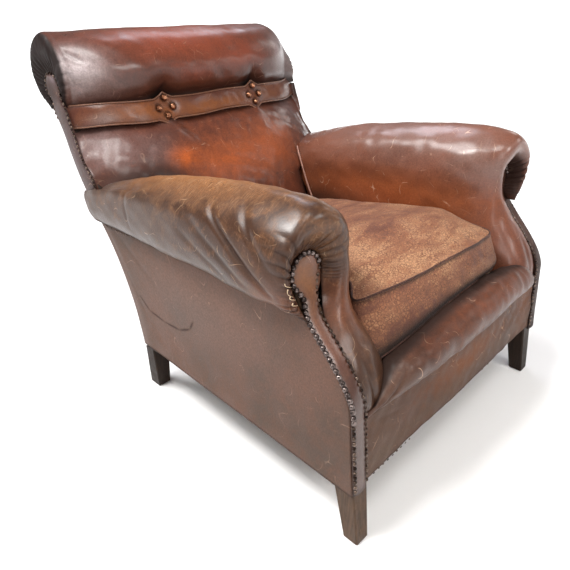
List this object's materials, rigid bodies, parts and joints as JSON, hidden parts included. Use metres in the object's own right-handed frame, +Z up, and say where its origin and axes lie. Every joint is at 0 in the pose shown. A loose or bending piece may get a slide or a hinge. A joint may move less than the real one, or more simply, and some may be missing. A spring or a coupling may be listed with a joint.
{
  "type": "club chair",
  "caption": "Worn leather club chair with fat rolled arms, a scrolled back with a studded strap, a loose bow-fronted seat cushion and short square tapered legs.",
  "frame": {"origin": "on the floor, under the centre of the chair's bounding box", "axes": "+Z up; the chair faces -Y; +X is the sitter's left, on the viewer's right when looking at the chair's front"},
  "size_m": [0.7758, 0.9297, 0.755],
  "materials": {
    "leather": "worn brown hide with a low sheen",
    "worn_suede": "rubbed to matt ochre suede",
    "beech": "dark stained, rubbed",
    "canvas": "plain woven",
    "spring_steel": "dull",
    "bronze": "tarnished, domed"
  },
  "bodies": {
    "root": {"arm_facing_left": "leather", "arm_facing_right": "leather", "arm_pad_left": "leather", "arm_pad_right": "leather", "arm_rail_left": "beech", "arm_rail_right": "beech", "back_band": "leather", "back_corner_block_left": "beech", "back_corner_block_right": "beech", "back_facing_left": "leather", "back_facing_right": "leather", "back_leg_left": "beech", "back_leg_right": "beech", "back_pad": "leather", "back_piping_left": "leather", "back_piping_right": "leather", "back_rail": "beech", "back_roll": "leather", "back_stud_1": "bronze", "back_stud_2": "bronze", "back_stud_3": "bronze", "back_stud_4": "bronze", "back_stud_5": "bronze", "back_stud_6": "bronze", "back_stud_7": "bronze", "back_stud_8": "bronze", "back_tacking_rail": "beech", "dust_cover": "canvas", "front_border": "leather", "front_corner_block_left": "beech", "front_corner_block_right": "beech", "front_leg_left": "beech", "front_leg_right": "beech", "front_rail": "beech", "front_roll": "leather", "outside_arm_left": "leather", "outside_arm_right": "leather", "outside_back": "leather", "seat_cushion": "worn_suede", "seat_platform": "canvas", "seat_spring_1": "spring_steel", "seat_spring_2": "spring_steel", "seat_spring_3": "spring_steel", "seat_spring_4": "spring_steel", "seat_spring_5": "spring_steel", "seat_spring_6": "spring_steel", "seat_spring_7": "spring_steel", "seat_spring_8": "spring_steel", "seat_spring_9": "spring_steel", "side_rail_left": "beech", "side_rail_right": "beech", "top_rail": "beech", "webbing_cross_1": "canvas", "webbing_cross_2": "canvas", "webbing_cross_3": "canvas", "webbing_long_1": "canvas", "webbing_long_2": "canvas", "webbing_long_3": "canvas"}
  },
  "joints": []
}
